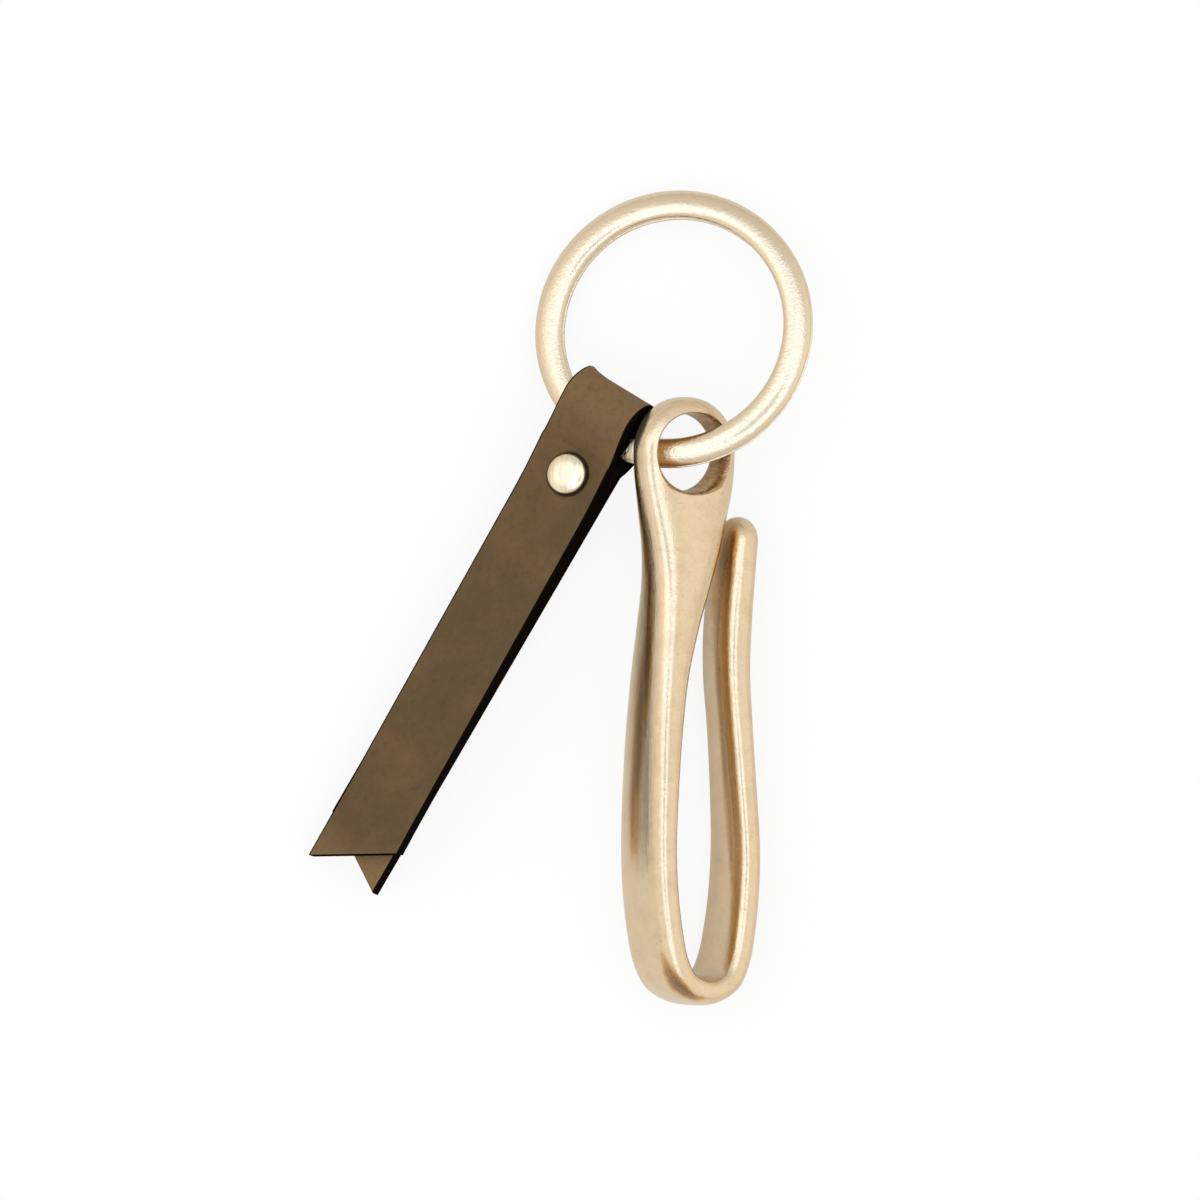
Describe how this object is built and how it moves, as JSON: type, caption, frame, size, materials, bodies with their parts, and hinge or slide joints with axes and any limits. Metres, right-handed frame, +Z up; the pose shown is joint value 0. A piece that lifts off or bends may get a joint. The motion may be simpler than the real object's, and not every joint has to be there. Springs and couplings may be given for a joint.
{
  "type": "fish hook key chain",
  "caption": "Cast brass fish hook key holder with a folded, riveted leather strap, both carried on a double-turn split key ring.",
  "frame": {"origin": "bottom centre of the bounding box, on the table that the key chain lies on", "axes": "+Z up from the table towards the viewer, +Y from the hook's bend towards the ring, +X from the strap towards the hook"},
  "size_m": [0.0682, 0.1102, 0.0168],
  "materials": {
    "cast_brass": "tumbled cast brass, soft satin shine, darker in its hollows",
    "ring_brass": "pale satin brass, half-round wire, finely scuffed",
    "leather": "smooth olive brown grain with black burnished edges",
    "rivet_brass": "satin domed rivet caps"
  },
  "bodies": {
    "ring": {"split_ring": "ring_brass"},
    "hook": {"hook": "cast_brass"},
    "strap": {"leather_strap": "leather", "rivet_front_cap": "rivet_brass", "rivet_back_cap": "rivet_brass", "rivet_socket": "rivet_brass", "rivet_post": "rivet_brass"}
  },
  "joints": [
    {"name": "hook_travel", "type": "hinge", "parent": "ring", "child": "hook", "pos_m": [0.01533, 0.03627, 0.00658], "axis": [-0.2102, 0.196, 0.9578], "range_deg": [0, 125]},
    {"name": "strap_travel", "type": "hinge", "parent": "ring", "child": "strap", "pos_m": [0.01533, 0.03627, 0.00658], "axis": [-0.2102, 0.196, 0.9578], "range_deg": [-125, 0]}
  ]
}
